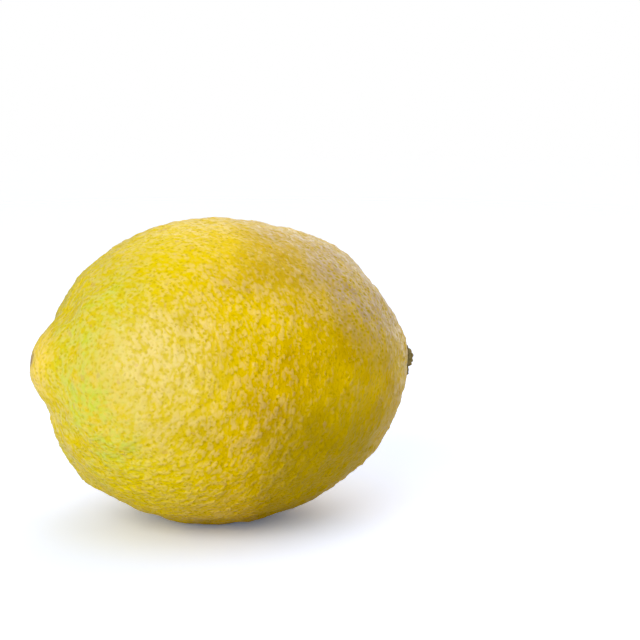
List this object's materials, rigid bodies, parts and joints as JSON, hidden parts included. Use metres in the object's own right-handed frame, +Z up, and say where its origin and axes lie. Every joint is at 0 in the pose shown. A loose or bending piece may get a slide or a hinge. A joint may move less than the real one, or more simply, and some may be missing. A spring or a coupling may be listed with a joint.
{
  "type": "lemon",
  "caption": "Whole ripe lemon lying on its side, pebbled rind, off-centre nipple at one end and a dry stem button at the other.",
  "frame": {"origin": "on the surface that the lemon rests on, under the middle of its bounding box", "axes": "+X along the fruit from the nipple to the stem end, +Z up"},
  "size_m": [0.0778, 0.06, 0.0595],
  "materials": {
    "rind": "waxy satin rind with fine oil pores",
    "stem_button": "dry matt bark"
  },
  "bodies": {
    "root": {"fruit": "rind", "stem_button": "stem_button"}
  },
  "joints": []
}
